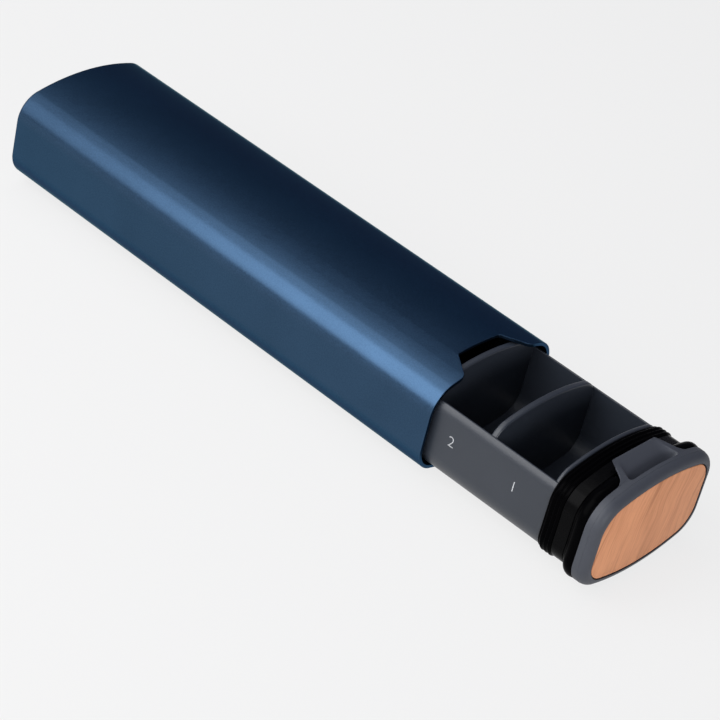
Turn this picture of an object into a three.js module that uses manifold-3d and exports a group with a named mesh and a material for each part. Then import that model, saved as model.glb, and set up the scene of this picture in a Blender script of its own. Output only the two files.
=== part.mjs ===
// A pocket pill organiser: an aluminium sleeve with a tray of seven compartments that slides out of it.
// Millimetres, +Z up. The tray pulls out along +X, and the side that carries the day numbers faces -Y.
// The origin lies under the middle of the whole object, on the surface that it rests on.

import * as THREE from "three";
import { mergeVertices } from "three/addons/utils/BufferGeometryUtils.js";
import Module from "manifold-3d";

const wasm = await Module();
wasm.setup();

// The outside section that sleeve and cap share: flat sides, crowned top and bottom, round corners.
const caseHalfWidth = 23;
const caseHalfHeight = 15;
const crownRadius = 67;
const cornerRadius = 8;
const leastCornerRadius = 1.5;
const crownSteps = 9;
const cornerSteps = 6;

// Sleeve: a drawn tube with a thumb notch in the top of its mouth.
const sleeveWall = 1;
const sleeveEdgeBreak = 0.25;
const notchDepth = 6.7;
const notchBackHalfWidth = 7.9;
const notchBackRound = 1;
const notchMouthRound = 2.5;
// How far the notch's sides spread for each millimetre towards the mouth.
const notchFlareShare = 0.72;

// Rear plug: a plate pressed into the far end, flush with the sleeve.
const plugDepth = 2;
const plugFit = 0.2;
const plugEdgeRound = 0.4;
const plugEdgeSteps = 3;

// Tray: a channel with dividers and end walls whose arched tops follow the bore.
const compartmentCount = 7;
const compartmentLength = 18.2;
const dividerThickness = 1.8;
const dividerRound = 0.5;
const dividerRoundSteps = 3;
const endWallThickness = 1.6;
const trayWall = 1.6;
const trayRunningGap = 0.4;
const traySideGap = 1.3;
const trayRearGap = 0.5;
const rimRound = 0.7;
const rimRoundSteps = 3;
const rimClearance = 0.3;

// Seal: a black carrier on the tray's spigot holds a ribbed wiper ring and a thick bead ring.
const wiperLength = 3.9;
const wiperRibs = 3;
const wiperRibSteps = 4;
const wiperRibHeight = 0.45;
const lipGap = 0.12;
const carrierFlange = 0.35;
const neckLength = 3.55;
const neckGap = 0.55;
const grooveDepth = 1.35;
const carrierWall = 1.2;
const ringFit = 0.15;
const beadWidth = 3.2;
const beadProud = 0.2;
const beadFoot = 0.9;
const beadFootGap = 0.12;
const beadSteps = 7;
const beadEndAngle = THREE.MathUtils.degToRad(35);
const spigotWall = 1.4;
const spigotTipGap = 0.5;
const slipFit = 0.2;
const faceGap = 0.05;

// Cap: the end plate with its thumb tab, the skirt that goes into the spigot and the recess for the inlay.
const capThickness = 4;
const capFrontRound = 2.2;
const capRoundSteps = 5;
const capSkirtLength = 8;
const capSkirtWall = 1.2;
const tabReach = 6.4;
const tabBackHalfWidth = 8.25;
const tabFlareShare = 0.58;
const tabBackRound = 0.5;
const tabRootRound = 1.5;
const tabRise = 0.2;
const tabSink = 0.03;
const tabSteps = 8;
const tabThickness = 1.15;
const tabClearance = 0.3;
const pocketBackHalfWidth = 7.1;
const pocketFlareShare = 0.4;
const pocketStartRise = 0.3;
const pocketMiddleShare = 0.55;
const pocketMiddleDepth = 1.2;
const pocketDepth = 2.7;
const pocketFloor = 0.8;
const pocketWall = 0.8;
const pocketRound = 0.8;

// Inlay: a wooden leaf bedded on an adhesive pad in the cap's recess.
const recessBorder = 0.05;
const recessCornerRadius = 7.2;
const recessDepth = 1.7;
const inlayThickness = 1.3;
const inlayEdgeBreak = 0.2;
const inlayGap = 0.2;
const padThickness = 0.2;
const padMargin = 1;

// How the object stands in the photograph, and how close the sleeve comes to the bead when it is shut.
const pulledOut = 45.4;
const seatGap = 0.3;

// Cutting shapes run on past what they cut by this much, and round corners of an outline have these steps.
const overrun = 2;
const filletSteps = 5;
const mergeTolerance = 1e-5;

// What follows from the sizes above.
const boreInset = sleeveWall;
const wiperInset = boreInset + lipGap;
const neckInset = boreInset + neckGap;
const grooveInset = neckInset + grooveDepth;
const carrierInset = grooveInset + carrierWall;
const spigotInset = carrierInset + slipFit;
const skirtInset = spigotInset + spigotWall + slipFit;
const recessInset = capFrontRound + recessBorder;
const wiperFront = -beadFoot - neckLength;
const endWallFace = wiperFront - wiperLength - carrierFlange;
const compartmentPitch = compartmentLength + dividerThickness;
const compartmentsLength = compartmentCount * compartmentPitch - dividerThickness;
const trayRear = endWallFace - endWallThickness - compartmentsLength - endWallThickness;
const sleeveLength = plugDepth + trayRearGap - trayRear - seatGap;
const capFront = beadWidth + capThickness;
const tabBack = beadWidth - tabReach;
const stopPlane = sleeveLength + seatGap + pulledOut;
const wholeLength = stopPlane + capFront;

const caseOval = {
  halfWidth: caseHalfWidth,
  halfHeight: caseHalfHeight,
  crown: crownRadius,
  corner: cornerRadius,
};

const finishes = {
  anodised: { color: 0x2e4460, roughness: 0.42, metalness: 0.85 },
  darkPlastic: { color: 0x2a2d31, roughness: 0.6, metalness: 0 },
  greyPlastic: { color: 0x474b51, roughness: 0.55, metalness: 0 },
  blackPlastic: { color: 0x101113, roughness: 0.35, metalness: 0 },
  blackRubber: { color: 0x0b0b0d, roughness: 0.3, metalness: 0 },
  adhesive: { color: 0xd8d4c8, roughness: 0.8, metalness: 0 },
  wood: { color: 0xc48a6a, roughness: 0.6, metalness: 0 },
};

// The same oval, smaller all round by one distance.
function shrunk(oval, inset) {
  return {
    halfWidth: oval.halfWidth - inset,
    halfHeight: oval.halfHeight - inset,
    crown: oval.crown - inset,
    corner: Math.max(oval.corner - inset, leastCornerRadius),
  };
}

// The centre of an oval's upper right corner arc, and the angle that its crown leans to each side.
function ovalCorner(oval) {
  const y = oval.halfWidth - oval.corner;
  const crownCentre = oval.halfHeight - oval.crown;
  const z = crownCentre + Math.sqrt((oval.crown - oval.corner) ** 2 - y ** 2);
  return { y, z, crownCentre, lean: Math.asin(y / (oval.crown - oval.corner)) };
}

// Points on an arc in the YZ plane, each with the direction that points straight out of it.
function arcStations(centreY, centreZ, radius, from, to, steps) {
  return Array.from({ length: steps + 1 }, (_, step) => {
    const angle = from + ((to - from) * step) / steps;
    const outY = Math.cos(angle);
    const outZ = Math.sin(angle);
    return { y: centreY + radius * outY, z: centreZ + radius * outZ, outY, outZ };
  });
}

// The lower half of an oval, from its left side under the bottom to its right side.
function lowerStations(oval) {
  const { y, z, crownCentre, lean } = ovalCorner(oval);
  const bottom = 1.5 * Math.PI;
  const left = arcStations(-y, -z, oval.corner, Math.PI, bottom - lean, cornerSteps);
  const under = arcStations(0, -crownCentre, oval.crown, bottom - lean, bottom + lean, crownSteps);
  const right = arcStations(y, -z, oval.corner, bottom + lean, 2 * Math.PI, cornerSteps);
  return [...left.slice(0, -1), ...under.slice(0, -1), ...right];
}

// The whole oval, counterclockwise seen from +X: the lower half, then the same half turned over.
function ovalStations(oval) {
  const lower = lowerStations(oval);
  const upper = lower.map(({ y, z, outY, outZ }) => ({ y: -y, z: -z, outY: -outY, outZ: -outZ }));
  return [...lower, ...upper];
}

// Sweeps a profile of [x, inset] points round an oval. The profile runs towards +X on the outside.
// A closed profile makes a ring. An open one gets a flat face at each end, so it makes a slab or a cup.
// An oval may be lifted above the section's centre.
function sweepOval(profile, oval, closed = false) {
  const { lift = 0 } = oval;
  const stations = ovalStations(oval);
  const rows = profile.length;
  const bands = closed ? rows : rows - 1;
  const positions = [];
  const index = [];
  for (const { y, z, outY, outZ } of stations) {
    for (const [x, inset] of profile) {
      positions.push(x, y - inset * outY, z - inset * outZ + lift);
    }
  }
  const firstCentre = stations.length * rows;
  const lastCentre = firstCentre + 1;
  if (!closed) {
    positions.push(profile[0][0], 0, lift, profile[rows - 1][0], 0, lift);
  }
  stations.forEach((_, station) => {
    const here = station * rows;
    const next = ((station + 1) % stations.length) * rows;
    for (let row = 0; row < bands; row++) {
      const after = (row + 1) % rows;
      index.push(here + row, next + row, next + after);
      index.push(here + row, next + after, here + after);
    }
    if (!closed) {
      index.push(firstCentre, next, here);
      index.push(lastCentre, here + rows - 1, next + rows - 1);
    }
  });
  const geometry = new THREE.BufferGeometry();
  geometry.setAttribute("position", new THREE.Float32BufferAttribute(positions, 3));
  geometry.setIndex(index);
  return solidOf(geometry);
}

// A quarter-round edge as [distance back from the face, inset] points, from the face to the side.
function quarterRound(radius, steps) {
  return Array.from({ length: steps + 1 }, (_, step) => {
    const angle = ((step / steps) * Math.PI) / 2;
    return [radius * (1 - Math.cos(angle)), radius * (1 - Math.sin(angle))];
  });
}

// An outline whose corners [x, y, radius] are rounded by arcs.
function roundedOutline(corners) {
  const points = [];
  corners.forEach(([x, y, radius], i) => {
    const corner = new THREE.Vector2(x, y);
    if (!radius) {
      points.push(corner);
      return;
    }
    const before = new THREE.Vector2(...corners.at(i - 1)).sub(corner).normalize();
    const after = new THREE.Vector2(...corners[(i + 1) % corners.length]).sub(corner).normalize();
    const half = Math.acos(before.dot(after)) / 2;
    const middle = before.clone().add(after).normalize();
    const centre = corner.clone().addScaledVector(middle, radius / Math.sin(half));
    const start = corner.clone().addScaledVector(before, radius / Math.tan(half)).sub(centre);
    const turn = Math.sign(start.cross(corner.clone().sub(centre))) * (Math.PI - 2 * half);
    for (let step = 0; step <= filletSteps; step++) {
      points.push(start.clone().rotateAround(new THREE.Vector2(), (turn * step) / filletSteps).add(centre));
    }
  });
  return points;
}

// Mirrors an outline's half, given from the front to the rear on the +Y side, to both sides.
function bothSides(half) {
  const other = half.map(([x, y, radius]) => [x, -y, radius]).reverse();
  return roundedOutline([...other, ...half]);
}

// Where an outline's two directions and its depth go: seen from above, from the side and from the end.
const fromAbove = new THREE.Matrix4();
const fromSide = new THREE.Matrix4().makeBasis(
  new THREE.Vector3(1, 0, 0),
  new THREE.Vector3(0, 0, 1),
  new THREE.Vector3(0, -1, 0),
);
const fromEnd = new THREE.Matrix4().makeBasis(
  new THREE.Vector3(0, 1, 0),
  new THREE.Vector3(0, 0, 1),
  new THREE.Vector3(1, 0, 0),
);

function prism(outline, from, to, view) {
  const shape = new THREE.Shape(outline.map((point) => new THREE.Vector2(...point)));
  const geometry = new THREE.ExtrudeGeometry(shape, { depth: to - from, bevelEnabled: false });
  geometry.translate(0, 0, from);
  geometry.applyMatrix4(view);
  return solidOf(geometry);
}

function solidOf(geometry) {
  geometry.deleteAttribute("normal");
  geometry.deleteAttribute("uv");
  const merged = mergeVertices(geometry, mergeTolerance);
  return new wasm.Manifold(
    new wasm.Mesh({
      numProp: 3,
      vertProperties: merged.attributes.position.array,
      triVerts: Uint32Array.from(merged.index.array),
    }),
  );
}

function piece(name, solid, finish) {
  const { vertProperties, triVerts } = solid.getMesh();
  const geometry = new THREE.BufferGeometry();
  geometry.setAttribute("position", new THREE.BufferAttribute(vertProperties, 3));
  geometry.setIndex(new THREE.BufferAttribute(triVerts, 1));
  const mesh = new THREE.Mesh(geometry, new THREE.MeshStandardMaterial({ ...finish, flatShading: true }));
  mesh.name = name;
  return mesh;
}

// The thumb notch, seen from above. Shut, it leaves a finger's gap open behind the tab.
function notchOutline() {
  const back = sleeveLength - notchDepth;
  const mouthHalfWidth = notchBackHalfWidth + notchFlareShare * notchDepth;
  return bothSides([
    [sleeveLength + overrun, mouthHalfWidth + notchMouthRound],
    [sleeveLength, mouthHalfWidth + notchMouthRound],
    [sleeveLength, mouthHalfWidth, notchMouthRound],
    [back, notchBackHalfWidth, notchBackRound],
  ]);
}

function makeSleeve() {
  const profile = [
    [0, sleeveEdgeBreak],
    [sleeveEdgeBreak, 0],
    [sleeveLength - sleeveEdgeBreak, 0],
    [sleeveLength, sleeveEdgeBreak],
    [sleeveLength, sleeveWall],
    [0, sleeveWall],
  ];
  const tube = sweepOval(profile, caseOval, true);
  return tube.subtract(prism(notchOutline(), 0, caseHalfHeight + overrun, fromAbove));
}

function makeRearPlug() {
  const edge = quarterRound(plugEdgeRound, plugEdgeSteps);
  return sweepOval([...edge, [plugDepth, 0]], shrunk(caseOval, boreInset + plugFit));
}

// The tray's own section: straight sides, and top and bottom that run close to the bore.
const trayOval = {
  halfWidth: caseHalfWidth - boreInset - traySideGap,
  halfHeight: caseHalfHeight - boreInset - trayRunningGap,
  crown: crownRadius - boreInset - trayRunningGap,
  corner: cornerRadius - boreInset,
};

// The rim rises until its rounded outer edge is as near to the bore's corner as it may come.
function rimHeight() {
  const corner = ovalCorner(caseOval);
  const reach = cornerRadius - boreInset - rimClearance - rimRound;
  const across = trayOval.halfWidth - rimRound - corner.y;
  return corner.z + Math.sqrt(reach ** 2 - across ** 2) + rimRound;
}

// The channel's U section: outside down, round and up, then back along the inside of the wall.
function channelOutline() {
  const rim = rimHeight();
  const outside = lowerStations(trayOval);
  const roundY = trayOval.halfWidth - rimRound;
  const roundZ = rim - rimRound;
  const leftRim = arcStations(-roundY, roundZ, rimRound, Math.PI / 2, Math.PI, rimRoundSteps);
  const rightRim = arcStations(roundY, roundZ, rimRound, 0, Math.PI / 2, rimRoundSteps);
  const inside = outside
    .map(({ y, z, outY, outZ }) => ({ y: y - trayWall * outY, z: z - trayWall * outZ }))
    .reverse();
  const innerSide = trayOval.halfWidth - trayWall;
  const outline = [
    ...leftRim,
    ...outside,
    ...rightRim,
    { y: innerSide, z: rim },
    ...inside,
    { y: -innerSide, z: rim },
  ];
  return outline.map(({ y, z }) => [y, z]);
}

// A wall across the tray. Its arched top follows the bore, and its foot and ends sink into the channel.
function crossWall(rear, thickness) {
  const sunk = trayWall / 2;
  const oval = {
    halfWidth: trayOval.halfWidth - sunk,
    halfHeight: trayOval.halfHeight - sunk / 2,
    crown: trayOval.crown - sunk / 2,
    corner: trayOval.corner - sunk,
    lift: sunk / 2,
  };
  const edge = quarterRound(dividerRound, dividerRoundSteps);
  const profile = [
    ...edge.map(([back, inset]) => [rear + back, inset]),
    ...edge.map(([back, inset]) => [rear + thickness - back, inset]).reverse(),
  ];
  return sweepOval(profile, oval);
}

function makeTray() {
  let tray = prism(channelOutline(), trayRear, endWallFace, fromEnd);
  tray = tray.add(crossWall(trayRear, endWallThickness));
  tray = tray.add(crossWall(endWallFace - endWallThickness, endWallThickness));
  for (let divider = 1; divider < compartmentCount; divider++) {
    const front = trayRear + endWallThickness + divider * compartmentPitch;
    tray = tray.add(crossWall(front - dividerThickness, dividerThickness));
  }
  const spigotRoot = endWallFace - endWallThickness / 2;
  const spigotTip = beadWidth - spigotTipGap;
  const spigot = [
    [spigotRoot, 0],
    [spigotTip, 0],
    [spigotTip, spigotWall],
    [spigotRoot, spigotWall],
  ];
  return tray.add(sweepOval(spigot, shrunk(caseOval, spigotInset), true));
}

// The carrier: a flange behind the wiper, a neck between the rings, and a groove for each ring.
function makeSealCarrier() {
  const wiperRear = endWallFace + carrierFlange;
  const profile = [
    [endWallFace + faceGap, neckInset],
    [wiperRear, neckInset],
    [wiperRear, grooveInset],
    [wiperFront, grooveInset],
    [wiperFront, neckInset],
    [-beadFoot, neckInset],
    [-beadFoot, grooveInset],
    [beadWidth - faceGap, grooveInset],
    [beadWidth - faceGap, carrierInset],
    [endWallFace + faceGap, carrierInset],
  ];
  return sweepOval(profile, caseOval, true).subtract(pocketShell(tabClearance));
}

// The wiper ring: its ribs rise and fall as a cosine, and their crests just clear the bore.
function makeWiperSeal() {
  const rear = endWallFace + carrierFlange + ringFit;
  const front = wiperFront - ringFit;
  const steps = wiperRibs * wiperRibSteps;
  const ribs = Array.from({ length: steps + 1 }, (_, step) => {
    const wave = (1 + Math.cos((2 * Math.PI * step) / wiperRibSteps)) / 2;
    return [rear + ((front - rear) * step) / steps, wiperInset + wiperRibHeight * wave];
  });
  const seat = grooveInset - ringFit;
  return sweepOval([...ribs, [front, seat], [rear, seat]], caseOval, true);
}

// The bead ring: a low foot inside the bore, then a round bead that the sleeve's mouth comes up to.
function makeBeadSeal() {
  const seat = grooveInset - ringFit;
  const footInset = boreInset + beadFootGap;
  const reach = (beadWidth - faceGap) / (1 + Math.cos(beadEndAngle));
  const bead = Array.from({ length: beadSteps + 1 }, (_, step) => {
    const angle = Math.PI + ((beadEndAngle - Math.PI) * step) / beadSteps;
    return [reach * (1 + Math.cos(angle)), footInset - (footInset + beadProud) * Math.sin(angle)];
  });
  const rear = -beadFoot + ringFit;
  const profile = [[rear, neckInset], ...bead, [beadWidth - faceGap, seat], [rear, seat]];
  const ring = sweepOval(profile, caseOval, true);
  const underTab = prism(tabOutline(tabClearance), 0, caseHalfHeight + overrun, fromAbove);
  const table = prism(
    [
      [-beadFoot - overrun, -caseHalfHeight - overrun],
      [beadWidth + overrun, -caseHalfHeight - overrun],
      [beadWidth + overrun, -caseHalfHeight],
      [-beadFoot - overrun, -caseHalfHeight],
    ],
    -caseHalfWidth,
    caseHalfWidth,
    fromSide,
  );
  return ring.subtract(underTab).subtract(table);
}

// The thumb tab seen from above, larger all round by a margin. Its roots curve into the cap's rear face.
function tabOutline(margin) {
  const rootHalfWidth = tabBackHalfWidth + tabFlareShare * tabReach + margin;
  const wide = rootHalfWidth + tabRootRound;
  return bothSides([
    [beadWidth + capThickness / 2, wide],
    [beadWidth - margin, wide],
    [beadWidth - margin, rootHalfWidth, tabRootRound],
    [tabBack - margin, tabBackHalfWidth + margin, tabBackRound],
  ]);
}

// A solid through outlines of [y, z] points that stand one after another along X.
// Each outline runs counterclockwise seen from +X and starts at a corner that sees all its other points.
function loft(sections) {
  const count = sections[0].outline.length;
  const lastStart = (sections.length - 1) * count;
  const index = [];
  for (let start = 0; start < lastStart; start += count) {
    for (let point = 0; point < count; point++) {
      const here = start + point;
      const beside = start + ((point + 1) % count);
      index.push(here, beside, beside + count);
      index.push(here, beside + count, here + count);
    }
  }
  for (let point = 1; point + 1 < count; point++) {
    index.push(0, point + 1, point);
    index.push(lastStart, lastStart + point, lastStart + point + 1);
  }
  const positions = sections.flatMap(({ x, outline }) => outline.flatMap(([y, z]) => [x, y, z]));
  const geometry = new THREE.BufferGeometry();
  geometry.setAttribute("position", new THREE.Float32BufferAttribute(positions, 3));
  geometry.setIndex(index);
  return solidOf(geometry);
}

// What lies under the tab's top. The top follows the crown at the plate, just under its surface,
// and flattens towards the back, where it ends in a straight edge that rises a little above the crown.
function underTabTop() {
  const half = caseHalfWidth - cornerRadius;
  const across = Array.from({ length: tabSteps + 1 }, (_, step) => half - (2 * half * step) / tabSteps);
  const crownCentre = caseHalfHeight - crownRadius;
  const flat = across.map((y) => [y, caseHalfHeight + tabRise]);
  const crowned = across.map((y) => [y, crownCentre + Math.sqrt(crownRadius ** 2 - y ** 2) - tabSink]);
  const foot = [
    [-half, 0],
    [half, 0],
  ];
  return loft([
    { x: tabBack - overrun, outline: [...foot, ...flat] },
    { x: tabBack, outline: [...foot, ...flat] },
    { x: beadWidth, outline: [...foot, ...crowned] },
    { x: beadWidth + capThickness / 4, outline: [...foot, ...crowned] },
  ]);
}

// The thumb pocket seen from above, larger all round by a margin. It runs out over the tab's back edge.
function pocketOutline(margin) {
  const frontHalfWidth = pocketBackHalfWidth + pocketFlareShare * tabReach;
  return bothSides([
    [beadWidth + margin, frontHalfWidth + margin, pocketRound],
    [tabBack - overrun, pocketBackHalfWidth - pocketFlareShare * overrun + margin],
  ]);
}

// What lies above the pocket's ramp and in front of the tab's back edge, lowered by a drop.
function aboveRamp(drop) {
  const outline = [
    [tabBack, caseHalfHeight + pocketStartRise - drop],
    [tabBack + pocketMiddleShare * tabReach, caseHalfHeight - pocketMiddleDepth - drop],
    [beadWidth, caseHalfHeight - pocketDepth - drop],
    [beadWidth + overrun, caseHalfHeight - pocketDepth - drop],
    [beadWidth + overrun, caseHalfHeight + overrun],
    [tabBack, caseHalfHeight + overrun],
  ];
  return prism(outline, -caseHalfWidth, caseHalfWidth, fromSide);
}

// The block that the pocket is sunk into, with its floor and walls, larger all round by a margin.
function pocketShell(margin) {
  const walls = prism(pocketOutline(pocketWall + margin), 0, caseHalfHeight + overrun, fromAbove);
  return walls.intersect(aboveRamp(pocketFloor + margin));
}

const recessOval = { ...shrunk(caseOval, recessInset), corner: recessCornerRadius };

function makeCap() {
  const edge = quarterRound(capFrontRound, capRoundSteps);
  const plateProfile = [
    [beadWidth, 0],
    ...edge.map(([back, inset]) => [capFront - back, inset]).reverse(),
  ];
  const plate = sweepOval(plateProfile, caseOval);
  const tabPlan = prism(tabOutline(0), 0, caseHalfHeight + overrun, fromAbove);
  const tabCurve = sweepOval(
    [
      [tabBack - overrun, tabThickness],
      [beadWidth + capThickness / 8, tabThickness],
    ],
    caseOval,
  );
  const tab = tabPlan.intersect(underTabTop()).subtract(tabCurve.subtract(pocketShell(0)));
  const skirt = [
    [beadWidth - capSkirtLength, 0],
    [beadWidth + capThickness / 4, 0],
    [beadWidth + capThickness / 4, capSkirtWall],
    [beadWidth - capSkirtLength, capSkirtWall],
  ];
  const pocket = prism(pocketOutline(0), 0, caseHalfHeight + overrun, fromAbove).intersect(aboveRamp(0));
  const recess = sweepOval([[capFront - recessDepth, 0], [capFront + overrun, 0]], recessOval);
  const solid = plate.add(tab).add(sweepOval(skirt, shrunk(caseOval, skirtInset), true));
  return solid.subtract(pocket).subtract(recess);
}

function makeInlayPad() {
  const rear = capFront - recessDepth + faceGap;
  return sweepOval([[rear, 0], [rear + padThickness, 0]], shrunk(recessOval, padMargin));
}

function makeInlay() {
  const rear = capFront - recessDepth + faceGap + padThickness + faceGap;
  const front = rear + inlayThickness;
  const profile = [
    [rear, 0],
    [front - inlayEdgeBreak, 0],
    [front, inlayEdgeBreak],
  ];
  return sweepOval(profile, shrunk(recessOval, inlayGap));
}

// The sleeve's own frame starts at its rear end, and the tray's at the plane where the mouth meets the bead.
const sleeveBody = new THREE.Group();
sleeveBody.add(
  piece("sleeve", makeSleeve(), finishes.anodised),
  piece("rear_plug", makeRearPlug(), finishes.darkPlastic),
);

const trayBody = new THREE.Group();
trayBody.position.x = stopPlane;
trayBody.add(
  piece("tray", makeTray(), finishes.greyPlastic),
  piece("seal_carrier", makeSealCarrier(), finishes.blackPlastic),
  piece("wiper_seal", makeWiperSeal(), finishes.blackRubber),
  piece("bead_seal", makeBeadSeal(), finishes.blackRubber),
  piece("cap_bezel", makeCap(), finishes.greyPlastic),
  piece("inlay_pad", makeInlayPad(), finishes.adhesive),
  piece("wood_inlay", makeInlay(), finishes.wood),
);

const organiser = new THREE.Group();
organiser.position.set(-wholeLength / 2, 0, caseHalfHeight);
organiser.add(sleeveBody, trayBody);

export default organiser;
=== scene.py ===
# A pocket pill organiser: a dark blue aluminium sleeve, and a grey tray with seven compartments that
# slides out of it. The scene is in metres with +Z up, and the pieces' sizes are in millimetres.
# The tray pulls out along +X, and its numbered side faces -Y.

import math

import bmesh
import bpy
from mathutils import Matrix, Vector


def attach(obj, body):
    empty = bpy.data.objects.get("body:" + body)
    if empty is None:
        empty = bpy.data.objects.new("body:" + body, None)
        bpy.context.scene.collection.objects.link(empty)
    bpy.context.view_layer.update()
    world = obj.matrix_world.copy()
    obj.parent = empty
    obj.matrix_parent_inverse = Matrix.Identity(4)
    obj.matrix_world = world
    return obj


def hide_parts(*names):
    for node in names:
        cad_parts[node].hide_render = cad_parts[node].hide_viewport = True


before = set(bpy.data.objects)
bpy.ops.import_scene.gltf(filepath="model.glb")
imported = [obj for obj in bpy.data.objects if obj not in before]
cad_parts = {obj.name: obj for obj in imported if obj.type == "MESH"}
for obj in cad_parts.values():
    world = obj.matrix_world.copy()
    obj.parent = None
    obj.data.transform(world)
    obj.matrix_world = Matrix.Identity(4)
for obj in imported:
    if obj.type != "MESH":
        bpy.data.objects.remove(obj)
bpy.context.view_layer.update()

# The sleeve: a drawn aluminium tube, oval in section, fine blasted and anodised dark blue.
# A thumb notch is milled into the top of its mouth. The far edge is rounded off, and the others are
# lightly broken.
mm = 0.001
touching = 0.001
weld_gap = 0.0001
section_height = 15
case_oval = (23, 15, 67, 8)
oval_steps = 180
sleeve_rear = -102.6
sleeve_length = 152.3
sleeve_wall = 1
sleeve_edge = 0.16
sleeve_rear_round = 0.6
overrun = 2
notch_flare = 0.72
notch_depth = 6.7
notch_back_half = 7.9
notch_back_round = 1
notch_mouth_round = 2.5
corner_steps = 8
crease_angle = math.radians(32)
many_sides = 100
flat_angle = math.radians(0.05)
noise_low, noise_high = 0.3, 0.7
blue_tones = ((0.021, 0.0545, 0.107), (0.029, 0.07, 0.134))
blue_tint = (0.15, 0.36, 0.42, 1)
cloud_share = 0.3
satin_low, satin_high = 0.28, 0.37


def oval_point(oval, turn, inset):
    """Across and up in mm on an oval, where its side faces that turn.

    An oval is its half width, its half height, and the radius of its crown and of its corners.
    """
    half_width, half_height, crown, corner = oval
    corner_y = half_width - corner
    crown_z = half_height - crown
    corner_z = crown_z + math.sqrt((crown - corner) ** 2 - corner_y**2)
    out_y, out_z = math.cos(turn), math.sin(turn)
    if abs(out_y) * (crown - corner) < corner_y:
        return (crown - inset) * out_y, math.copysign(crown_z, -out_z) + (crown - inset) * out_z
    return (
        math.copysign(corner_y, out_y) + (corner - inset) * out_y,
        math.copysign(corner_z, out_z) + (corner - inset) * out_z,
    )


def quarter_round(radius, steps):
    """A rounded edge as (back from the face, inset) points, from the face to the side."""
    turns = [step / steps * math.pi / 2 for step in range(steps + 1)]
    return [(radius * (1 - math.cos(turn)), radius * (1 - math.sin(turn))) for turn in turns]


def skin(profile, oval, start, lift=0):
    """An open skin: a profile of (along, inset) points in mm carried round an oval."""
    shape = bmesh.new()
    turns = shape.verts.layers.float.new("turn")
    ring = bmesh.ops.create_circle(shape, segments=oval_steps, radius=1)["verts"]
    for vert in ring:
        vert[turns] = math.atan2(vert.co.y, vert.co.x) + math.pi / oval_steps
    edges = list(shape.edges)
    for along, inset in profile:
        for vert in ring:
            y, z = oval_point(oval, vert[turns], inset)
            vert.co = Vector((start + along, y, section_height + lift + z)) * mm
        grown = bmesh.ops.extrude_edge_only(shape, edges=edges)["geom"]
        ring = [part for part in grown if isinstance(part, bmesh.types.BMVert)]
        edges = [part for part in grown if isinstance(part, bmesh.types.BMEdge) and part.is_boundary]
    bmesh.ops.delete(shape, geom=ring, context="VERTS")
    shape.verts.layers.float.remove(turns)
    return shape


def swept(profile, oval, start, lift=0, closed=False):
    """A solid from a profile carried round an oval: a ring, or a slab or cup with a flat face at each end."""
    shape = skin(profile + profile[:1] if closed else profile, oval, start, lift)
    if closed:
        bmesh.ops.remove_doubles(shape, verts=shape.verts, dist=weld_gap * mm)
    else:
        bmesh.ops.edgeloop_fill(shape, edges=[edge for edge in shape.edges if edge.is_boundary])
    return shape


def upright(half, low, high, start):
    """A block between two levels, whose plan has these (along, across, radius) corners on both sides."""
    corners = half + [(x, -y, radius) for x, y, radius in reversed(half)]
    shape = bmesh.new()
    foot_level = section_height + low
    feet = [shape.verts.new(Vector((start + x, y, foot_level)) * mm) for x, y, _ in corners]
    raised = bmesh.ops.extrude_face_region(shape, geom=[shape.faces.new(feet)])["geom"]
    top = [part for part in raised if isinstance(part, bmesh.types.BMVert)]
    bmesh.ops.translate(shape, verts=top, vec=(0, 0, (high - low) * mm))
    for place, (x, y, radius) in enumerate(corners):
        if not radius:
            continue
        corner = Vector((x, y))
        before = Vector(corners[place - 1][:2]) - corner
        after = Vector(corners[(place + 1) % len(corners)][:2]) - corner
        foot = Vector((start + x, y)) * mm
        bmesh.ops.bevel(
            shape,
            geom=[
                edge
                for edge in shape.edges
                if all((vert.co.xy - foot).length < touching * mm for vert in edge.verts)
            ],
            offset=radius * mm / math.tan(before.angle(after) / 2),
            segments=corner_steps,
            profile=0.5,
            affect="EDGES",
            material=-1,
        )
    return shape


def piece(name, shape):
    """Makes an object of a finished shape, with its faces pointing outwards."""
    bmesh.ops.recalc_face_normals(shape, faces=shape.faces)
    mesh = bpy.data.meshes.new(name)
    shape.to_mesh(mesh)
    shape.free()
    made = bpy.data.objects.new(name, mesh)
    bpy.context.scene.collection.objects.link(made)
    return made


def put_in_order(shape):
    """Numbers a shape's parts by their place, because a cut shape comes back in another order each run."""

    def number(parts, place):
        for rank, part in enumerate(sorted(parts, key=place)):
            part.index = rank
        parts.sort()

    number(shape.verts, lambda vert: tuple(vert.co))
    number(shape.edges, lambda edge: sorted(vert.index for vert in edge.verts))
    number(shape.faces, lambda face: sorted(vert.index for vert in face.verts))


def combined(shape, operation, tool_shape):
    """Cuts one shape with another, joins them, or keeps what they share."""
    made, tool = piece("made", shape), piece("tool", tool_shape)
    change = made.modifiers.new("combine", "BOOLEAN")
    change.operation = operation
    change.solver = "EXACT"
    change.object = tool
    result = bmesh.new()
    result.from_object(made, bpy.context.evaluated_depsgraph_get())
    for used in (made, tool):
        bpy.data.objects.remove(used)
    put_in_order(result)
    bmesh.ops.dissolve_limit(result, angle_limit=flat_angle, verts=result.verts, edges=result.edges)
    return result


def shaded(made, crease=crease_angle):
    """Shades a piece smooth, but for the edges that turn by more than the crease angle."""
    made.data.shade_smooth()
    made.data.set_sharp_from_angle(angle=crease)


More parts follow.
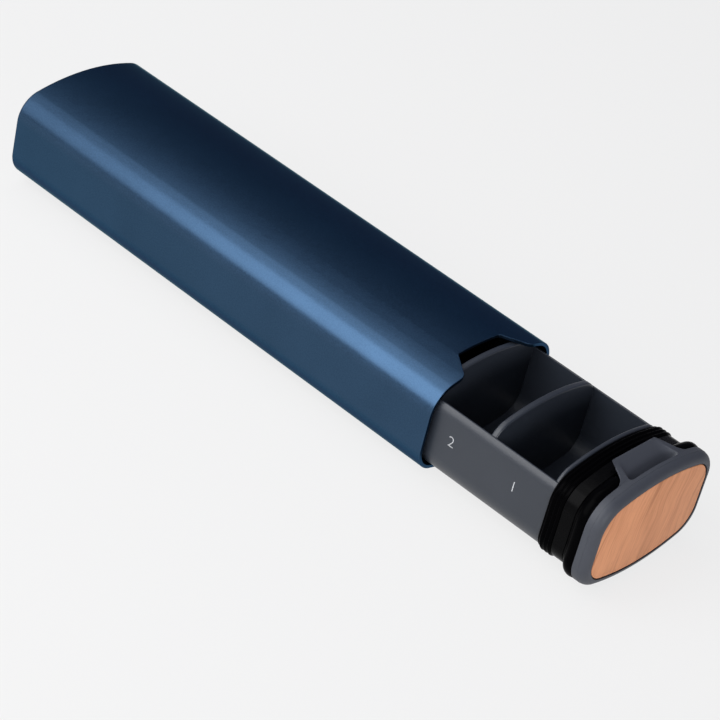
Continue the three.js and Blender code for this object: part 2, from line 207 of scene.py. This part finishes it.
def soften(made, width, steps=2, crisp=None):
    """Smooths a piece but for its creases, and rounds the outer creases, except where they stay crisp."""
    shaded(made)
    shape = bmesh.new()
    shape.from_mesh(made.data)
    weights = shape.edges.layers.float.new("bevel_weight_edge")
    for edge in shape.edges:
        if not edge.smooth and edge.is_convex and not (crisp and any(crisp(vert.co) for vert in edge.verts)):
            edge[weights] = 1
    hollow_faces = [face for face in shape.faces if len(face.verts) > many_sides]
    bmesh.ops.connect_verts_concave(shape, faces=hollow_faces)
    shape.to_mesh(made.data)
    shape.free()
    rounding = made.modifiers.new("rounding", "BEVEL")
    rounding.width = width * mm
    rounding.segments = steps
    rounding.limit_method = "WEIGHT"
    rounding.use_clamp_overlap = False
    rounding.harden_normals = True


def coat_with(made, finish, body):
    """Gives a piece its finish and the body that it moves with."""
    made.data.materials.clear()
    made.data.materials.append(finish)
    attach(made, body)


def node(tree, kind, sockets=None, **settings):
    """Adds a shader node, with its settings, values and links."""
    added = tree.nodes.new(kind)
    for name, value in settings.items():
        setattr(added, name, value)
    for socket, value in (sockets or {}).items():
        if isinstance(value, bpy.types.NodeSocket):
            tree.links.new(value, added.inputs[socket])
        else:
            added.inputs[socket].default_value = value
    return added


def new_finish(name, **sockets):
    """Starts a finish from plain values. Also returns its node tree, its shader and object coordinates."""
    finish = bpy.data.materials.new(name)
    finish.use_nodes = True
    tree = finish.node_tree
    shader = tree.nodes["Principled BSDF"]
    for socket, value in sockets.items():
        shader.inputs[socket.replace("_", " ")].default_value = value
    return finish, tree, shader, node(tree, "ShaderNodeTexCoord").outputs["Object"]


def two_tones(tree, mix, colours, low, high):
    """A colour that passes from the first tone to the second as the mix goes from low to high."""
    ramp = node(tree, "ShaderNodeValToRGB", {"Fac": mix})
    for stop, place, colour in zip(ramp.color_ramp.elements, (low, high), colours):
        stop.position = place
        stop.color = (*colour, 1)
    return ramp.outputs["Color"]


def noise(tree, place, scale, detail):
    """A noise whose blotches are a metre over the scale in size."""
    return node(tree, "ShaderNodeTexNoise", {"Vector": place, "Scale": scale, "Detail": detail}).outputs[0]


def blended(tree, share, first, second):
    """One noise with that share of a second one in it."""
    return node(tree, "ShaderNodeMix", {0: share, 2: first, 3: second}).outputs[0]


def spanned(tree, value, low, high, start=noise_low, end=noise_high):
    """Carries a noise over to a span from low to high, as it goes from start to end."""
    sockets = {"Value": value, "From Min": start, "From Max": end, "To Min": low, "To Max": high}
    return node(tree, "ShaderNodeMapRange", sockets).outputs[0]


def textured(tree, shader, height, strength, depth, sunk=False):
    """Gives a finish a fine relief, so many mm deep, that stands up or is sunk where the height is high."""
    sockets = {"Strength": strength, "Distance": depth * mm, "Height": height}
    relief = node(tree, "ShaderNodeBump", sockets, invert=sunk)
    tree.links.new(relief.outputs["Normal"], shader.inputs["Normal"])


def anodised():
    """Blasted and anodised aluminium: satin, with a fine grain and faint cloudiness."""
    finish, tree, shader, place = new_finish(
        "anodised_blue",
        Metallic=1,
        Specular_Tint=blue_tint,
        Coat_Weight=0.11,
        Coat_Roughness=0.3,
        Coat_IOR=2.0,
    )
    grain = noise(tree, place, scale=2700, detail=2)
    cloud = noise(tree, place, scale=60, detail=3)
    tone = two_tones(tree, blended(tree, cloud_share, grain, cloud), blue_tones, low=0.39, high=0.61)
    tree.links.new(tone, shader.inputs["Base Color"])
    tree.links.new(spanned(tree, grain, satin_low, satin_high), shader.inputs["Roughness"])
    textured(tree, shader, grain, strength=0.6, depth=0.01)
    return finish


notch_mouth_half = notch_back_half + notch_flare * notch_depth
notch_plan = [
    (sleeve_length + overrun, notch_mouth_half + notch_mouth_round, 0),
    (sleeve_length, notch_mouth_half + notch_mouth_round, 0),
    (sleeve_length, notch_mouth_half, notch_mouth_round),
    (sleeve_length - notch_depth, notch_back_half, notch_back_round),
]
rear_edge = quarter_round(sleeve_rear_round, corner_steps)
tube = [*rear_edge, (sleeve_length, 0), (sleeve_length, sleeve_wall), (0, sleeve_wall)]
tube_shape = swept(tube, case_oval, sleeve_rear, closed=True)
notch = upright(notch_plan, low=0, high=case_oval[1] + overrun, start=sleeve_rear)
sleeve = piece("sleeve_shell", combined(tube_shape, "DIFFERENCE", notch))
soften(sleeve, sleeve_edge, steps=3)
coat_with(sleeve, anodised(), "sleeve")
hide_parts("sleeve")

# The rear plug: a plate moulded in dark plastic, with the mould's fine matt texture.
# It is pressed into the sleeve's far end and lies flush with it.
plug_tones = ((0.021, 0.023, 0.028), (0.026, 0.028, 0.033))
flow_share = 0.5
texture_swing = 0.05


def matt_plastic(name, tones, roughness=0.55, gloss=0.4):
    """Moulded plastic with the fine even texture of a spark-eroded mould."""
    finish, tree, shader, place = new_finish(name, Specular_IOR_Level=gloss)
    texture = noise(tree, place, scale=4200, detail=3)
    flow = noise(tree, place, scale=45, detail=2)
    tone = two_tones(tree, blended(tree, flow_share, texture, flow), tones, low=0.36, high=0.64)
    satin = spanned(tree, texture, roughness - texture_swing, roughness + texture_swing)
    tree.links.new(tone, shader.inputs["Base Color"])
    tree.links.new(satin, shader.inputs["Roughness"])
    textured(tree, shader, texture, strength=0.3, depth=0.02)
    return finish


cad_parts["rear_plug"].material_slots[0].material = matt_plastic("dark_plug_plastic", plug_tones)

# The tray: one grey moulding, a channel with seven compartments whose arched dividers follow the bore.
# Its front ends in a hollow spigot that carries the seal and the cap.
mouth_plane = 95.4
tray_oval = (20.7, 13.6, 65.6, 7)
divider_oval = (19.9, 13.2, 65.2, 6.2)
divider_lift = 0.4
tray_wall = 1.6
tray_front = -8.7
tray_rear = -150.1
rim_height = 9.08
rim_bend = 3.8
rim_fall = 2.7
rim_steps = 10
end_wall = 1.6
front_wall = 1.25
divider = 1.8
divider_edge = 0.5
compartment_pitch = 20
compartments = 7
spigot_inset = 4.3
spigot_wall = 1.4
spigot_tip = 2.7
tray_edge = 0.15
round_steps = 5
side_tolerance = 0.01
# The tray is the same grey plastic as the cap, but its tones are about half as bright: painted shade for the
# dimmer light on its sides and in its compartments.
tray_tones_with_painted_shade = ((0.0158, 0.0198, 0.0275), (0.02, 0.0247, 0.0336))


def cross_wall(rear, thickness):
    """An arched wall across the channel, with both of its edges rounded."""
    edge = quarter_round(divider_edge, round_steps)
    rising = [(rear + back, inset) for back, inset in edge]
    falling = [(rear + thickness - back, inset) for back, inset in reversed(edge)]
    return swept(rising + falling, divider_oval, mouth_plane, divider_lift)


channel = skin([(tray_rear, 0), (tray_front, 0)], tray_oval, mouth_plane)
everything = channel.verts[:] + channel.edges[:] + channel.faces[:]
middle = (0, 0, section_height * mm)
bmesh.ops.bisect_plane(channel, geom=everything, plane_co=middle, plane_no=(0, 0, 1), clear_outer=True)
sides = [
    edge for edge in channel.edges if all(abs(vert.co.z - middle[2]) < touching * mm for vert in edge.verts)
]
risen = bmesh.ops.extrude_edge_only(channel, edges=sides)["geom"]
rims = [part for part in risen if isinstance(part, bmesh.types.BMVert)]
bmesh.ops.translate(channel, verts=rims, vec=(0, 0, rim_height * mm))
bmesh.ops.recalc_face_normals(channel, faces=channel.faces)
bmesh.ops.solidify(channel, geom=channel.faces[:], thickness=tray_wall * mm)
bend_start = section_height + rim_height - rim_fall
for step in range(rim_steps):
    everything = channel.verts[:] + channel.edges[:] + channel.faces[:]
    level = (0, 0, (bend_start + rim_fall * step / rim_steps) * mm)
    bmesh.ops.bisect_plane(channel, geom=everything, plane_co=level, plane_no=(0, 0, 1))
for vert in channel.verts:
    rise = vert.co.z / mm - bend_start
    if rise > 0 and abs(abs(vert.co.y) - tray_oval[0] * mm) < side_tolerance * mm:
        inwards = rim_bend - math.sqrt(rim_bend**2 - rise**2)
        vert.co.y -= math.copysign(inwards * mm, vert.co.y)
walls = [(tray_rear, end_wall), (tray_front - front_wall, front_wall)]
for number in range(1, compartments):
    walls.append((tray_rear + end_wall + number * compartment_pitch - divider, divider))
for rear, thickness in walls:
    channel = combined(channel, "UNION", cross_wall(rear, thickness))
spigot = [
    (tray_front - end_wall / 2, spigot_inset),
    (spigot_tip, spigot_inset),
    (spigot_tip, spigot_inset + spigot_wall),
    (tray_front - end_wall / 2, spigot_inset + spigot_wall),
]
tray = piece("tray_moulding", combined(channel, "UNION", swept(spigot, case_oval, mouth_plane, closed=True)))
soften(tray, tray_edge)
tray_plastic = matt_plastic("grey_tray_plastic_with_painted_shade", tray_tones_with_painted_shade, roughness=0.4, gloss=0.5)
coat_with(tray, tray_plastic, "tray")
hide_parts("tray")

# The day numbers: one plain number for each compartment, counted from the cap.
# They are pad printed in light grey ink on the tray's side.
number_size = 4.3
number_thinning = 0.07
number_height = 16
number_steps = 6
print_thickness = 0.02
ink_tones = ((0.28, 0.29, 0.3), (0.44, 0.45, 0.46))

numbers = bmesh.new()
for number in range(compartments):
    text = bpy.data.curves.new("number", "FONT")
    text.body = str(number + 1)
    text.size = number_size * mm
    text.offset = -number_thinning * mm
    text.extrude = print_thickness * mm
    text.align_x = "CENTER"
    text.align_y = "CENTER"
    text.resolution_u = number_steps
    letter = bpy.data.objects.new("number", text)
    bpy.context.scene.collection.objects.link(letter)
    figure = bpy.data.meshes.new_from_object(letter.evaluated_get(bpy.context.evaluated_depsgraph_get()))
    bpy.data.objects.remove(letter)
    front_end = mouth_plane + tray_front - end_wall - compartment_pitch * number
    along = front_end - (compartment_pitch - divider) / 2
    place = Vector((along, -tray_oval[0], number_height)) * mm
    figure.transform(Matrix.Translation(place) @ Matrix.Rotation(math.pi / 2, 4, "X"))
    numbers.from_mesh(figure)
bmesh.ops.remove_doubles(numbers, verts=numbers.verts, dist=touching * mm)
day_numbers = piece("day_numbers", numbers)
ink, ink_tree, ink_shader, ink_place = new_finish("light_grey_ink", Roughness=0.5)
speckle = noise(ink_tree, ink_place, scale=5000, detail=2)
ink_tone = two_tones(ink_tree, speckle, ink_tones, low=0.35, high=0.6)
ink_tree.links.new(ink_tone, ink_shader.inputs["Base Color"])
coat_with(day_numbers, ink, "tray")

# The seal carrier: a black moulded ring pushed onto the spigot.
# It has a flange and a groove for the wiper, a smooth neck, and a groove for the thick bead.
# Its top is cut down where the cap's thumb pocket hangs over it.
neck_inset = 1.55
groove_inset = 2.9
carrier_inset = 4.1
face_gap = 0.05
rear_flange = 0.35
carrier_edge = 0.12
carrier_rear = tray_front + face_gap
wiper_groove = (tray_front + rear_flange, -4.45)
bead_groove = -0.9
bead_width = 3.2
tab_reach = 6.4
tab_back_half = 8.25
tab_flare = 0.58
tab_back_round = 0.5
tab_root_round = 3.5
tab_gap = 0.3
tab_rise = 0.2
tab_sink = 0.03
pocket_back_half = 7.2
pocket_flare = 0.38
pocket_reach = 7.2
pocket_slope = 1.3
pocket_scoop = 2.4
pocket_corner = 1.3
pocket_start = 0.08
pocket_side_power = 7
pocket_brim = 1.08
pocket_floor = 0.6
pocket_wall = 0.4
pocket_steps = 36
across_steps = 60
tab_back = bead_width - tab_reach
carrier_black = (0.0015, 0.0015, 0.0017, 1)
ripple_swing = 0.04


def tab_height(share, y):
    """How high the tab's top stands over the middle, at a share of the way from its back edge to the plate.

    It passes from a straight back edge, a little proud of the case, to the case's own crown.
    """
    crown = case_oval[2]
    crowned = case_oval[1] - crown + math.sqrt(crown**2 - y**2) - tab_sink
    straight = case_oval[1] + tab_rise
    return straight + (crowned - straight) * min(max(share, 0), 1)


def draped(shares, half_width, height, end):
    """A solid from a surface over the tab, of that half width and height at each share, to a level end."""
    solid = bmesh.new()
    bmesh.ops.create_grid(solid, x_segments=len(shares) - 1, y_segments=across_steps, size=1)
    for vert in solid.verts:
        share = shares[round((vert.co.x + 1) / 2 * (len(shares) - 1))]
        y = vert.co.y * half_width(share)
        along = mouth_plane + tab_back + share * tab_reach
        vert.co = Vector((along, y, section_height + height(share, y))) * mm
    grown = bmesh.ops.extrude_face_region(solid, geom=solid.faces[:])["geom"]
    for vert in (part for part in grown if isinstance(part, bmesh.types.BMVert)):
        vert.co.z = (section_height + end) * mm
    return solid


def pocket_block(margin, drop):
    """What the thumb pocket takes out of the tab, a bowl that deepens forwards.

    The margin makes it larger all round and the drop makes it deeper, for the wall under the pocket.
    """
    first, last = -overrun / tab_reach, (pocket_reach + margin) / tab_reach

    def brim(share):
        """Half the pocket's width, which grows forwards and is rounded off at the front corners."""
        forwards = share * tab_reach
        corner, past = pocket_corner + margin, max(forwards - pocket_reach + pocket_corner, 0)
        rounding = corner - math.sqrt(max(corner**2 - past**2, 0))
        return pocket_back_half + pocket_flare * forwards + margin - rounding

    def bowl(share, y):
        """How high the pocket's floor lies, which falls from the brim to its full depth."""
        forwards = share * tab_reach / pocket_reach
        depth = pocket_slope * forwards + pocket_scoop * forwards**3 - pocket_start
        return tab_height(share, y) - depth * (1 - (abs(y) / brim(share)) ** pocket_side_power) - drop

    shares = [first + (last - first) * step / pocket_steps for step in range(pocket_steps + 1)]
    return draped(shares, lambda share: pocket_brim * brim(share), bowl, case_oval[1] + overrun)


carrier_profile = [
    (carrier_rear, neck_inset),
    (wiper_groove[0], neck_inset),
    (wiper_groove[0], groove_inset),
    (wiper_groove[1], groove_inset),
    (wiper_groove[1], neck_inset),
    (bead_groove, neck_inset),
    (bead_groove, groove_inset),
    (bead_width - face_gap, groove_inset),
    (bead_width - face_gap, carrier_inset),
    (carrier_rear, carrier_inset),
]
carrier_ring = swept(carrier_profile, case_oval, mouth_plane, closed=True)
room_for_pocket = pocket_block(pocket_wall + tab_gap, pocket_floor + tab_gap)
carrier = piece("seal_carrier_ring", combined(carrier_ring, "DIFFERENCE", room_for_pocket))
soften(carrier, carrier_edge)


def smooth_black(name, colour, roughness, gloss):
    """Black moulded stock that is nearly smooth, with a slow ripple in its shine."""
    finish, tree, shader, place = new_finish(name, Base_Color=colour, Specular_IOR_Level=gloss)
    ripple = noise(tree, place, scale=900, detail=2)
    shine = spanned(tree, ripple, roughness - ripple_swing, roughness + ripple_swing)
    tree.links.new(shine, shader.inputs["Roughness"])
    textured(tree, shader, ripple, strength=0.1, depth=0.02)
    return finish


carrier_plastic = smooth_black("black_carrier_plastic", carrier_black, roughness=0.26, gloss=0.035)
coat_with(carrier, carrier_plastic, "tray")
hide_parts("seal_carrier")

# The wiper: a soft black silicone ring, stretched into the carrier's rear groove.
# Three fine ribs run round it and brush the bore.
wiper_ribs = 3
rib_steps = 14
rib_height = 0.45
rib_crease = math.radians(50)
wiper_inset = 1.12
ring_fit = 0.15
silicone_black = (0.0008, 0.0008, 0.001, 1)

wiper_rear, wiper_front = wiper_groove[0] + ring_fit, wiper_groove[1] - ring_fit
ribs = [
    (
        wiper_rear + (wiper_front - wiper_rear) * step / (wiper_ribs * rib_steps),
        wiper_inset + rib_height * (1 + math.cos(2 * math.pi * step / rib_steps)) / 2,
    )
    for step in range(wiper_ribs * rib_steps + 1)
]
ring_seat = groove_inset - ring_fit
wiper_profile = ribs + [(wiper_front, ring_seat), (wiper_rear, ring_seat)]
wiper = piece("wiper_ring", swept(wiper_profile, case_oval, mouth_plane, closed=True))
shaded(wiper, rib_crease)
black_silicone = smooth_black("black_silicone", silicone_black, roughness=0.22, gloss=0.01)
coat_with(wiper, black_silicone, "tray")
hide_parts("wiper_seal")

# The bead: a thick black silicone ring in the front groove. It stands a little proud of the case, but
# not below it, where the object rests. It is cut away under the thumb tab, and the sleeve's mouth
# comes up to its round back when shut.
bead_foot_inset = 1.12
bead_proud = 0.2
bead_end = math.radians(35)
bead_steps = 20
bead_crease = math.radians(40)

bead_reach = (bead_width - face_gap) / (1 + math.cos(bead_end))
bead_turns = [math.pi + (bead_end - math.pi) * step / bead_steps for step in range(bead_steps + 1)]
bead_back = [
    (bead_reach * (1 + math.cos(turn)), bead_foot_inset - (bead_foot_inset + bead_proud) * math.sin(turn))
    for turn in bead_turns
]
bead_rear = bead_groove + ring_fit
bead_profile = [
    (bead_rear, neck_inset),
    *bead_back,
    (bead_width - face_gap, ring_seat),
    (bead_rear, ring_seat),
]
bead_shape = swept(bead_profile, case_oval, mouth_plane, closed=True)
bead_parts = bead_shape.verts[:] + bead_shape.edges[:] + bead_shape.faces[:]
bmesh.ops.bisect_plane(bead_shape, geom=bead_parts, plane_co=(0, 0, 0), plane_no=(0, 0, -1), clear_outer=True)
bmesh.ops.edgeloop_fill(bead_shape, edges=[edge for edge in bead_shape.edges if edge.is_boundary])


def tab_plan(margin):
    """Half the outline of the thumb tab from above, which flares forwards, larger by that margin."""
    root_half = tab_back_half + tab_flare * tab_reach + margin
    return [
        (bead_width + overrun, root_half + tab_root_round, 0),
        (bead_width - margin, root_half + tab_root_round, 0),
        (bead_width - margin, root_half, tab_root_round),
        (tab_back - margin, tab_back_half + margin, tab_back_round),
    ]


under_tab = upright(tab_plan(tab_gap), low=0, high=case_oval[1] + overrun, start=mouth_plane)
bead = piece("bead_ring", combined(bead_shape, "DIFFERENCE", under_tab))
shaded(bead, bead_crease)
coat_with(bead, black_silicone, "tray")
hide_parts("bead_seal")

# The cap: the grey moulded end plate with a rounded front edge and a recess for the inlay.
# Its thumb tab reaches back over the seal, with a ramped pocket, and a skirt goes into the spigot.
cap_front = 7.2
cap_front_round = 2.2
cap_front_steps = 10
cap_step = 0.08
cap_cover_half = 16.5
tab_thickness = 0.45
skirt_back = -4.8
skirt_inset = 5.9
skirt_wall = 1.2
recess_oval = (20.75, 12.75, 64.75, 7.2)
recess_depth = 1.7
plate_overlap = 1
cap_edge = 0.14
cap_tones = ((0.032, 0.0355, 0.0455), (0.039, 0.0435, 0.0545))

cap_rounding = quarter_round(cap_front_round, cap_front_steps)
front_edge = [(cap_front - back, cap_step + inset) for back, inset in reversed(cap_rounding)]
plate_profile = [(bead_width, 0), (cap_front - cap_front_round - cap_step, 0), *front_edge]
plate = swept(plate_profile, case_oval, mouth_plane)


def below_tab_top(sink):
    """All that lies below the tab's top, lowered by that much, down to the middle of the section."""
    shares = (-overrun / tab_reach, 0, 1, 1 + plate_overlap / tab_reach)
    return draped(shares, lambda share: cap_cover_half, lambda share, y: tab_height(share, y) - sink, 0)


tab_block = upright(tab_plan(0), low=1, high=case_oval[1] + overrun, start=mouth_plane)
tab = combined(tab_block, "INTERSECT", below_tab_top(0))
hollow = combined(below_tab_top(tab_thickness), "DIFFERENCE", pocket_block(pocket_wall, pocket_floor))
tab = combined(tab, "DIFFERENCE", hollow)
skirt = [
    (skirt_back, skirt_inset),
    (bead_width + plate_overlap, skirt_inset),
    (bead_width + plate_overlap, skirt_inset + skirt_wall),
    (skirt_back, skirt_inset + skirt_wall),
]
cap_shape = combined(plate, "UNION", tab)
cap_shape = combined(cap_shape, "UNION", swept(skirt, case_oval, mouth_plane, closed=True))
cap_shape = combined(cap_shape, "DIFFERENCE", pocket_block(0, 0))
recess = swept([(cap_front - recess_depth, 0), (cap_front + overrun, 0)], recess_oval, mouth_plane)
cap = piece("cap_moulding", combined(cap_shape, "DIFFERENCE", recess))


def crisp_on_cap(place):
    """The plate in front of its rear edge, and the brim of the pocket."""
    forwards = place.x / mm - mouth_plane - tab_back
    brim = pocket_back_half + pocket_flare * forwards + pocket_wall / 2
    return forwards > tab_reach + plate_overlap or (forwards > pocket_wall and abs(place.y) / mm < brim)


soften(cap, cap_edge, crisp=crisp_on_cap)
cap_plastic = matt_plastic("grey_cap_plastic", cap_tones)
coat_with(cap, cap_plastic, "tray")
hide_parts("cap_bezel")

# The inlay pad: a thin pad of foam, sticky on both faces, that beds the wooden leaf in the recess.
# It lies behind the leaf and doesn't show.
foam_tones = ((0.5, 0.47, 0.4), (0.68, 0.65, 0.58))
foam, foam_tree, foam_shader, foam_place = new_finish("adhesive_foam", Roughness=0.85)
cells = node(foam_tree, "ShaderNodeTexVoronoi", {"Vector": foam_place, "Scale": 3000}).outputs["Distance"]
foam_tone = two_tones(foam_tree, cells, foam_tones, low=0.1, high=0.6)
foam_tree.links.new(foam_tone, foam_shader.inputs["Base Color"])
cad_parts["inlay_pad"].material_slots[0].material = foam

# The inlay: a leaf of light reddish hardwood, fine sanded and oiled, with its grain running upright.
# It lies on the pad, with a narrow gap to the recess all round and its front edge just broken.
inlay_gap = 0.3
inlay_thickness = 1.3
inlay_edge = 0.2
inlay_edge_steps = 4
pad_room = 0.3
inlay_rear = cap_front - recess_depth + pad_room
grain_lean = math.radians(9)
grain_sway = 0.9
figure_tones = ((0.36, 0.142, 0.058), (0.6, 0.262, 0.125))
streak_tones = ((0.34, 0.124, 0.046), (0.6, 0.262, 0.12))
streak_share = 0.46
fibre_tones = ((0.38, 0.142, 0.056), (0.62, 0.28, 0.134))
fibre_share = 0.3
vein_tone = (0.27, 0.095, 0.035, 1)
vein_share = 0.5
pore_tone = (0.3, 0.11, 0.05, 1)
pore_share = 0.4

leaf_rounding = quarter_round(inlay_edge, inlay_edge_steps)
leaf_front = inlay_rear + inlay_thickness
leaf_edge = [(leaf_front - back, inlay_gap + inset) for back, inset in reversed(leaf_rounding)]
leaf = piece("inlay_leaf", swept([(inlay_rear, inlay_gap), *leaf_edge], recess_oval, mouth_plane))
shaded(leaf)


def oiled_wood():
    """Close-grained wood: broad figure, streaks, fibres, dark veins and short pores along a leaning grain."""
    finish, tree, shader, place = new_finish("oiled_hardwood", Specular_IOR_Level=0.2, Roughness=0.5)
    leaning = node(tree, "ShaderNodeMapping", {"Vector": place, "Rotation": (grain_lean, 0, 0)}).outputs[0]
    sway = spanned(tree, noise(tree, leaning, scale=75, detail=1), -grain_sway * mm, grain_sway * mm)
    aside = node(tree, "ShaderNodeCombineXYZ", {"Y": sway}).outputs[0]
    along = node(tree, "ShaderNodeVectorMath", {0: leaning, 1: aside}, operation="ADD").outputs[0]

    def drawn(across, upwards, detail):
        """A noise drawn out along the grain, with so many blotches to the metre across it and up it."""
        pulled = node(tree, "ShaderNodeMapping", {"Vector": along, "Scale": (1, across, upwards)})
        return noise(tree, pulled.outputs[0], scale=1, detail=detail)

    def over(tone, share, upper):
        """A tone with that share of an upper tone on it."""
        return node(tree, "ShaderNodeMix", {0: share, 6: tone, 7: upper}, data_type="RGBA").outputs[2]

    figure = drawn(across=90, upwards=34, detail=3)
    streaks = drawn(across=230, upwards=22, detail=4)
    fibres = drawn(across=1150, upwards=90, detail=4)
    veins = drawn(across=620, upwards=17, detail=3)
    pores = drawn(across=3600, upwards=260, detail=1)
    tone = two_tones(tree, figure, figure_tones, low=0.36, high=0.57)
    tone = over(tone, streak_share, two_tones(tree, streaks, streak_tones, low=0.3, high=0.5))
    tone = over(tone, fibre_share, two_tones(tree, fibres, fibre_tones, low=0.32, high=0.62))
    tone = over(tone, spanned(tree, veins, 0, vein_share, start=0.58, end=0.7), vein_tone)
    tone = over(tone, spanned(tree, pores, 0, pore_share, start=0.62, end=0.74), pore_tone)
    tree.links.new(tone, shader.inputs["Base Color"])
    textured(tree, shader, pores, strength=0.3, depth=0.03, sunk=True)
    return finish


coat_with(leaf, oiled_wood(), "tray")
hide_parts("wood_inlay")

# The stage: a pale floor under the object, and nothing behind it but a dim room.
# Soft boxes stand close to it, a wide and a shorter one both in front and overhead, so that the sleeve
# darkens evenly towards its far end. One on the right lights the wooden end and the compartments.
floor_half_size = 4.0
floor_colour = (0.87, 0.87, 0.87, 1)
floor_strength = 1.0
backdrop_share = 0.9
room_light = 0.17
room_colour = (1, 1.03, 1.32, 1)

floor_mesh = bmesh.new()
bmesh.ops.create_grid(floor_mesh, x_segments=1, y_segments=1, size=floor_half_size)
floor = piece("floor", floor_mesh)
floor_paint, floor_tree, floor_shader, _ = new_finish(
    "floor_paint", Base_Color=floor_colour, Roughness=0.9, Specular_IOR_Level=0
)
rays = node(floor_tree, "ShaderNodeLightPath").outputs
seen = rays["Is Camera Ray"]
for ray in (rays["Is Glossy Ray"], rays["Is Transmission Ray"]):
    seen = node(floor_tree, "ShaderNodeMath", {0: seen, 1: ray}, operation="ADD", use_clamp=True).outputs[0]
share = node(floor_tree, "ShaderNodeMath", {0: seen, 1: backdrop_share}, operation="MULTIPLY").outputs[0]
glow = node(floor_tree, "ShaderNodeEmission", {"Color": floor_colour, "Strength": floor_strength})
layers = {0: share, 1: floor_shader.outputs[0], 2: glow.outputs[0]}
mixed = node(floor_tree, "ShaderNodeMixShader", layers).outputs[0]
floor_tree.links.new(mixed, floor_tree.nodes["Material Output"].inputs["Surface"])
floor.data.materials.append(floor_paint)

room = bpy.data.worlds.new("room")
bpy.context.scene.world = room
room.use_nodes = True
room.node_tree.nodes["Background"].inputs["Color"].default_value = room_colour
room.node_tree.nodes["Background"].inputs["Strength"].default_value = room_light


def soft_box(name, place, aim, width, height, brightness):
    """A rectangular lamp whose face has that brightness, where 1 is the brightness of a lit white wall."""
    lamp = bpy.data.lights.new(name, "AREA")
    lamp.shape = "RECTANGLE"
    lamp.size = width
    lamp.size_y = height
    lamp.energy = brightness * math.pi * width * height
    box = bpy.data.objects.new(name, lamp)
    bpy.context.scene.collection.objects.link(box)
    box.location = place
    box.rotation_euler = (Vector(aim) - Vector(place)).to_track_quat("-Z", "Y").to_euler()


soft_box("front_wide_box", (-0.325, -0.435, 0.34), (-0.325, 0, 0.02), width=0.85, height=0.55, brightness=1.65)
soft_box("front_near_box", (-0.08, -0.43, 0.335), (-0.08, 0, 0.02), width=0.66, height=0.55, brightness=2.28)
soft_box("top_wide_box", (-0.405, -0.05, 0.55), (-0.405, -0.05, 0), width=0.69, height=0.52, brightness=0.95)
soft_box("top_near_box", (-0.23, -0.05, 0.545), (-0.23, -0.05, 0), width=0.36, height=0.52, brightness=1.2)
soft_box("right_box", (0.73, -0.25, 0.21), (0.1, 0, 0.02), width=0.5, height=0.22, brightness=8.0)

# The camera: it stands where the photograph was taken from, with a long lens.
# It is rolled as well, so that the object lies across the picture at the photograph's angle.
camera_place = (0.3208, -0.44381, 0.37034)
camera_aim = (0.01965, -0.01425, 0.015)
camera_roll = math.radians(14.26)
camera_lens = 127.33
camera_sensor = 36
camera_nearest = 0.01

camera_data = bpy.data.cameras.new("camera")
camera_data.lens = camera_lens
camera_data.sensor_width = camera_sensor
camera_data.clip_start = camera_nearest
camera = bpy.data.objects.new("camera", camera_data)
bpy.context.scene.collection.objects.link(camera)
look = (Vector(camera_aim) - Vector(camera_place)).to_track_quat("-Z", "Y").to_matrix().to_4x4()
camera.matrix_world = Matrix.Translation(camera_place) @ look @ Matrix.Rotation(camera_roll, 4, "Z")
bpy.context.scene.camera = camera
bpy.context.scene.view_settings.view_transform = "Standard"
